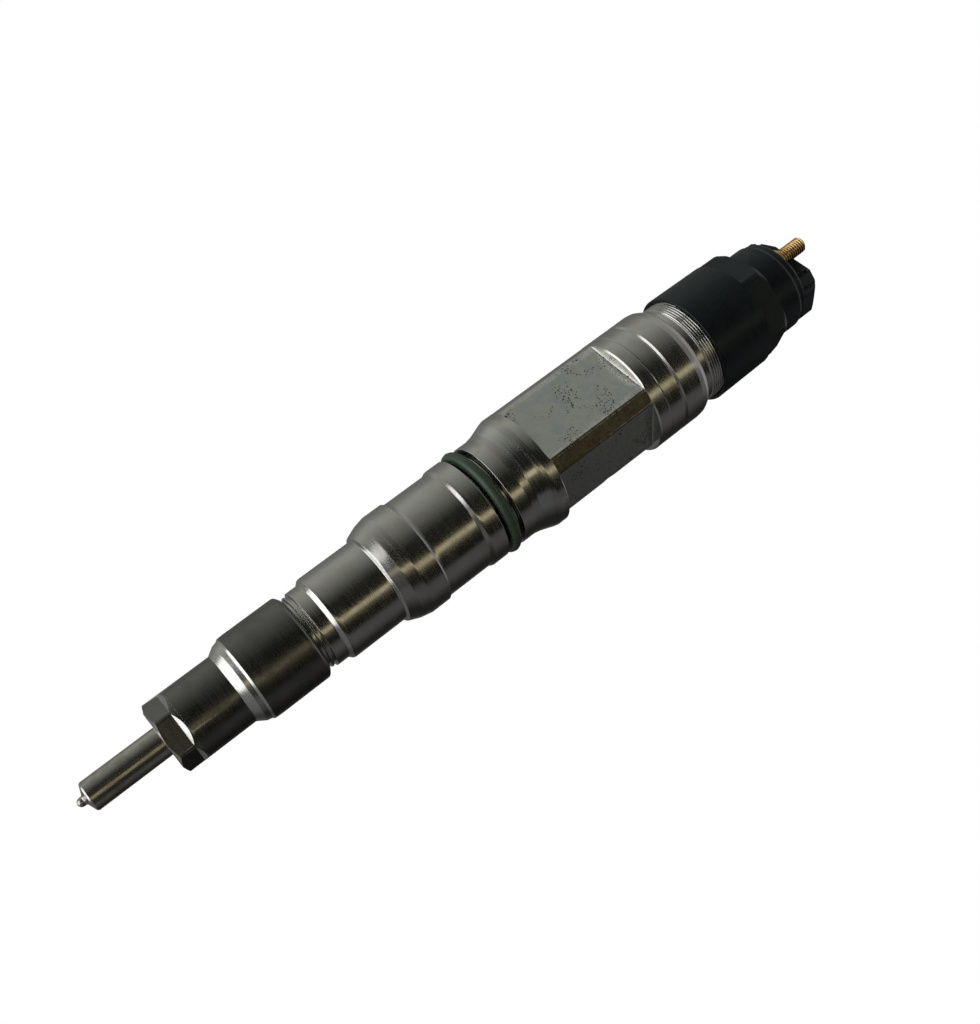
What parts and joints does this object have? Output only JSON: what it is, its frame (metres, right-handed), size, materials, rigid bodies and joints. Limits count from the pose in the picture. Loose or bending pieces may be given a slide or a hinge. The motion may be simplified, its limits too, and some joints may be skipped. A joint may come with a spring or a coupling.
{
  "type": "solenoid fuel injector",
  "caption": "Slim turned-steel diesel injector: spray nozzle and its nut below, sealed body with spanner flats, side fuel inlet, solenoid nut and a terminal cap on top.",
  "frame": {"origin": "centre of the nozzle retaining nut's lower face, on the injector's axis, where the nozzle shank leaves it", "axes": "+Z along the axis from the spray tip to the terminals, +X towards the high-pressure inlet"},
  "size_m": [0.0296, 0.0296, 0.2111],
  "materials": {
    "body_steel": "turned and ground steel, satin",
    "nozzle_steel": "dark hardened steel, satin",
    "ground_steel": "fine ground steel",
    "phosphated_steel": "dark phosphate over steel, semi-matt",
    "black_nut_steel": "black finish over steel, semi-matt",
    "spring_steel": "dark drawn wire",
    "magnet_iron": "sintered soft iron",
    "ball_ceramic": "lapped and polished",
    "copper_wire": "enamelled copper",
    "soft_brass": "soft annealed metal",
    "terminal_brass": "rolled brass, slightly tarnished",
    "green_rubber": "moulded green rubber, matt",
    "black_rubber": "moulded black rubber, matt",
    "bobbin_plastic": "natural moulded plastic",
    "black_plastic": "black glass-filled plastic, semi-matt"
  },
  "bodies": {
    "injector": {"nozzle_body": "nozzle_steel", "nozzle_retaining_nut": "phosphated_steel", "locating_pins": "ground_steel", "nozzle_spring": "spring_steel", "nozzle_spring_shim": "ground_steel", "injector_body": "body_steel", "body_seal": "green_rubber", "valve_piece": "ground_steel", "valve_seal_ring": "soft_brass", "valve_clamp_screw": "phosphated_steel", "stroke_shim": "ground_steel", "armature_guide": "ground_steel", "overtravel_spring": "spring_steel", "air_gap_spacer": "ground_steel", "magnet_core": "magnet_iron", "coil_bobbin": "bobbin_plastic", "solenoid_coil": "copper_wire", "solenoid_spring": "spring_steel", "spring_force_shim": "ground_steel", "magnet_sleeve": "ground_steel", "solenoid_seal": "black_rubber", "solenoid_nut": "black_nut_steel", "terminal_cap": "black_plastic", "coil_leads": "copper_wire", "terminal_stud_front": "terminal_brass", "terminal_stud_rear": "terminal_brass"},
    "needle_train": {"nozzle_needle": "ground_steel", "pressure_pin": "ground_steel", "control_piston": "ground_steel"},
    "valve_armature": {"armature_bolt": "ground_steel", "ball_carrier": "ground_steel", "valve_ball": "ball_ceramic", "armature_lock_ring": "spring_steel"},
    "armature_plate_body": {"armature_plate": "magnet_iron"}
  },
  "joints": [
    {"name": "needle_lift", "type": "slide", "parent": "injector", "child": "needle_train", "axis": [0, 0, 1], "range_m": [0, 0.0003], "stiffness_N_per_m": 2000, "springref_m": -0.001, "deforming": ["nozzle_spring"]},
    {"name": "valve_lift", "type": "slide", "parent": "injector", "child": "valve_armature", "axis": [0, 0, 1], "range_m": [0, 0.00006], "stiffness_N_per_m": 1000, "springref_m": -0.001, "deforming": ["solenoid_spring"]},
    {"name": "plate_overtravel", "type": "slide", "parent": "valve_armature", "child": "armature_plate_body", "axis": [0, 0, -1], "range_m": [0, 0.00005], "stiffness_N_per_m": 500, "springref_m": -0.001, "deforming": ["overtravel_spring"]}
  ]
}
